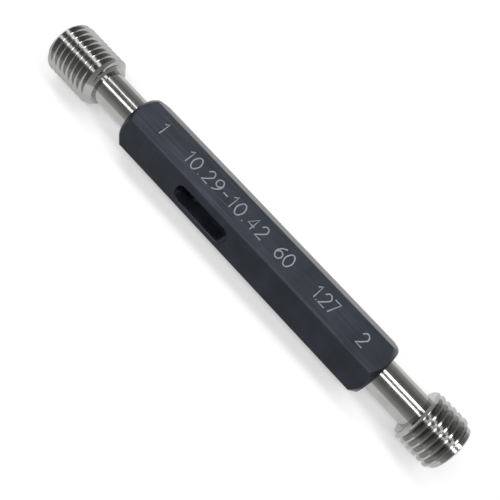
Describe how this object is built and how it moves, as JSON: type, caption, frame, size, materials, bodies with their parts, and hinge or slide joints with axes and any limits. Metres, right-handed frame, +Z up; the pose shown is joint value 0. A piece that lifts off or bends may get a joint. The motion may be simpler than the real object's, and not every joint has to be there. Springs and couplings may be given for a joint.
{
  "type": "thread plug gauge",
  "caption": "Double-ended thread plug gauge with a hexagonal handle, a GO member and a NO-GO member held by slow tapers.",
  "frame": {"origin": "under the middle of the gauge's length, on the surface that it lies on", "axes": "+X along the axis from the GO member to the NO-GO member, +Y across the handle's corners, +Z up, square to the top flat"},
  "size_m": [0.1032, 0.0126, 0.0111],
  "materials": {
    "black_oxide": "black oxide, fine ground",
    "gauge_steel": "ground and lapped"
  },
  "bodies": {
    "root": {"handle": "black_oxide", "go_plug": "gauge_steel", "no_go_plug": "gauge_steel"}
  },
  "joints": []
}
